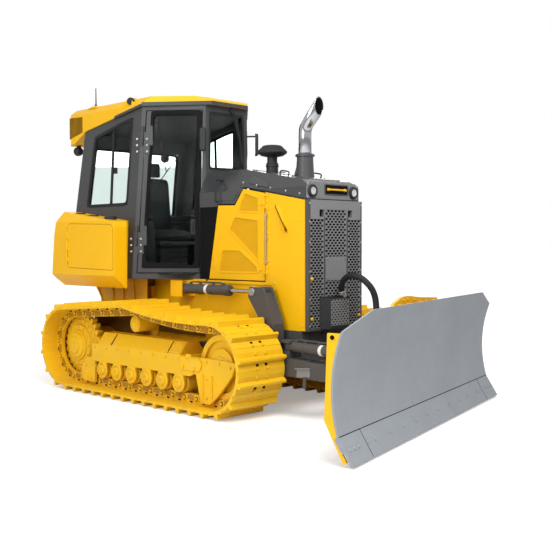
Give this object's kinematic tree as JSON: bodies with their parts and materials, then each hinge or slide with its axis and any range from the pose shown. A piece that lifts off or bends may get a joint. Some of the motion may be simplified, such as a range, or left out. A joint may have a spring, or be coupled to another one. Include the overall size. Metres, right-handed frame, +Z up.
{
  "type": "bulldozer",
  "caption": "Compact crawler bulldozer with enclosed cab, steel tracks and an angled six-way blade on a push frame moved by hydraulic cylinders.",
  "frame": {"origin": "on the ground below the middle of the machine's bounding box, the machine's mid-plane 10 mm to the right of Y = 0", "axes": "+X forward to the blade, +Y to the machine's left, +Z up"},
  "size_m": [4.5599, 3.003, 2.975],
  "materials": {
    "yellow_paint": "satin",
    "dark_paint": "satin",
    "blade_paint": "satin",
    "rod_chrome": "polished",
    "black_plastic": "matte",
    "lamp_plastic": "gloss",
    "seat_fabric": "matte",
    "hose_rubber": "matte",
    "window_glass": "clear"
  },
  "bodies": {
    "chassis": {"main_frame": "yellow_paint", "final_drives": "yellow_paint", "sprockets": "yellow_paint", "idlers": "yellow_paint", "track_rollers": "yellow_paint", "track_frames": "yellow_paint", "track_right": "yellow_paint", "track_left": "yellow_paint", "rear_drawbar": "yellow_paint", "engine_block": "dark_paint", "radiator_core": "black_plastic", "hood": "dark_paint", "cowl": "dark_paint", "side_panels": "yellow_paint", "grille": "dark_paint", "hood_lamps": "lamp_plastic", "exhaust_stack": "rod_chrome", "pre_cleaner": "black_plastic", "hose_guard": "dark_paint", "cab_frame": "dark_paint", "cab_floor": "dark_paint", "cab_roof": "yellow_paint", "cab_glass": "window_glass", "operator_seat": "seat_fabric", "control_console": "black_plastic", "cab_lamps": "lamp_plastic", "mirrors": "black_plastic", "handrails": "black_plastic", "fender_tanks": "yellow_paint", "blade_hose": "hose_rubber"},
    "push_frame": {"c_frame": "dark_paint"},
    "yoke": {"blade_yoke": "dark_paint"},
    "blade": {"moldboard": "blade_paint", "blade_back": "yellow_paint", "cutting_edges": "blade_paint"},
    "cab_door_right": {"door_right": "dark_paint", "door_glass_right": "window_glass"},
    "cab_door_left": {"door_left": "dark_paint", "door_glass_left": "window_glass"},
    "engine_door_right": {"engine_door_right": "yellow_paint"},
    "engine_door_left": {"engine_door_left": "yellow_paint"},
    "lift_cylinder_right": {"lift_barrel_right": "dark_paint"},
    "lift_ram_right": {"lift_rod_right": "rod_chrome"},
    "lift_cylinder_left": {"lift_barrel_left": "dark_paint"},
    "lift_ram_left": {"lift_rod_left": "rod_chrome"},
    "angle_cylinder_right": {"angle_barrel_right": "dark_paint"},
    "angle_ram_right": {"angle_rod_right": "rod_chrome"},
    "angle_cylinder_left": {"angle_barrel_left": "dark_paint"},
    "angle_ram_left": {"angle_rod_left": "rod_chrome"},
    "tilt_cylinder": {"tilt_barrel": "dark_paint"},
    "tilt_ram": {"tilt_rod": "rod_chrome"}
  },
  "joints": [
    {"name": "blade_lift", "type": "hinge", "parent": "chassis", "child": "push_frame", "pos_m": [-0.296, -0.01, 0.45], "axis": [0, 1, 0], "range_deg": [-21, 13.5], "deforming": ["blade_hose"]},
    {"name": "blade_angle", "type": "hinge", "parent": "push_frame", "child": "yoke", "pos_m": [1.67, -0.01, 0.351], "axis": [0, 0, 1], "range_deg": [-36.5, 7.5]},
    {"name": "blade_tilt", "type": "hinge", "parent": "yoke", "child": "blade", "pos_m": [1.67, -0.01, 0.351], "axis": [0.9681, 0.2504, 0], "range_deg": [-7.5, 7.5]},
    {"name": "cab_door_right_swing", "type": "hinge", "parent": "chassis", "child": "cab_door_right", "pos_m": [-0.96705, -0.71469, 1.4], "axis": [-0.0525, -0.0456, -0.9976], "range_deg": [0, 100]},
    {"name": "cab_door_left_swing", "type": "hinge", "parent": "chassis", "child": "cab_door_left", "pos_m": [-0.96705, 0.69469, 1.4], "axis": [0.0525, -0.0456, 0.9976], "range_deg": [0, 100]},
    {"name": "engine_door_right_swing", "type": "hinge", "parent": "chassis", "child": "engine_door_right", "pos_m": [0.388, -0.358, 1.4], "axis": [0, 0, 1], "range_deg": [0, 100]},
    {"name": "engine_door_left_swing", "type": "hinge", "parent": "chassis", "child": "engine_door_left", "pos_m": [0.388, 0.338, 1.4], "axis": [0, 0, -1], "range_deg": [0, 100]},
    {"name": "lift_cylinder_right_swing", "type": "hinge", "parent": "chassis", "child": "lift_cylinder_right", "pos_m": [-0.586, -0.46, 1], "axis": [0, 1, 0], "range_deg": [-15.5, 10]},
    {"name": "lift_rod_right_stroke", "type": "slide", "parent": "lift_cylinder_right", "child": "lift_ram_right", "axis": [1, 0, 0.0051], "range_m": [-0.207, 0.133]},
    {"name": "lift_cylinder_left_swing", "type": "hinge", "parent": "chassis", "child": "lift_cylinder_left", "pos_m": [-0.586, 0.44, 1], "axis": [0, 1, 0], "range_deg": [-15.5, 10]},
    {"name": "lift_rod_left_stroke", "type": "slide", "parent": "lift_cylinder_left", "child": "lift_ram_left", "axis": [1, 0, 0.0051], "range_m": [-0.207, 0.133]},
    {"name": "angle_cylinder_right_swing", "type": "hinge", "parent": "push_frame", "child": "angle_cylinder_right", "pos_m": [0.774, -0.453, 0.57], "axis": [0, 0, 1], "range_deg": [-1.3, 0.4]},
    {"name": "angle_rod_right_stroke", "type": "slide", "parent": "angle_cylinder_right", "child": "angle_ram_right", "axis": [0.9954, -0.0961, 0], "range_m": [-0.345, 0.072]},
    {"name": "angle_cylinder_left_swing", "type": "hinge", "parent": "push_frame", "child": "angle_cylinder_left", "pos_m": [0.774, 0.433, 0.57], "axis": [0, 0, 1], "range_deg": [-1.3, 0.4]},
    {"name": "angle_rod_left_stroke", "type": "slide", "parent": "angle_cylinder_left", "child": "angle_ram_left", "axis": [0.9937, 0.1117, 0], "range_m": [-0.071, 0.342]},
    {"name": "tilt_cylinder_swing", "type": "hinge", "parent": "yoke", "child": "tilt_cylinder", "pos_m": [1.6705, -0.07185, 0.745], "axis": [0.9681, 0.2504, 0], "range_deg": [-6.9, 6.9]},
    {"name": "tilt_rod_stroke", "type": "slide", "parent": "tilt_cylinder", "child": "tilt_ram", "axis": [-0.2504, 0.9681, 0], "range_m": [-0.053, 0.053]}
  ],
  "couplings": [
    {"joint": "lift_cylinder_right_swing", "follows": "blade_lift", "ratio": 0.7264},
    {"joint": "lift_rod_right_stroke", "follows": "blade_lift", "m_per_rad": 0.56219},
    {"joint": "lift_cylinder_left_swing", "follows": "blade_lift", "ratio": 0.7264},
    {"joint": "lift_rod_left_stroke", "follows": "blade_lift", "m_per_rad": 0.56219},
    {"joint": "angle_cylinder_right_swing", "follows": "blade_angle", "ratio": 0.030835},
    {"joint": "angle_rod_right_stroke", "follows": "blade_angle", "m_per_rad": 0.53936},
    {"joint": "angle_cylinder_left_swing", "follows": "blade_angle", "ratio": 0.030835},
    {"joint": "angle_rod_left_stroke", "follows": "blade_angle", "m_per_rad": -0.53529},
    {"joint": "tilt_cylinder_swing", "follows": "blade_tilt", "ratio": 0.89617},
    {"joint": "tilt_rod_stroke", "follows": "blade_tilt", "m_per_rad": -0.39447}
  ]
}
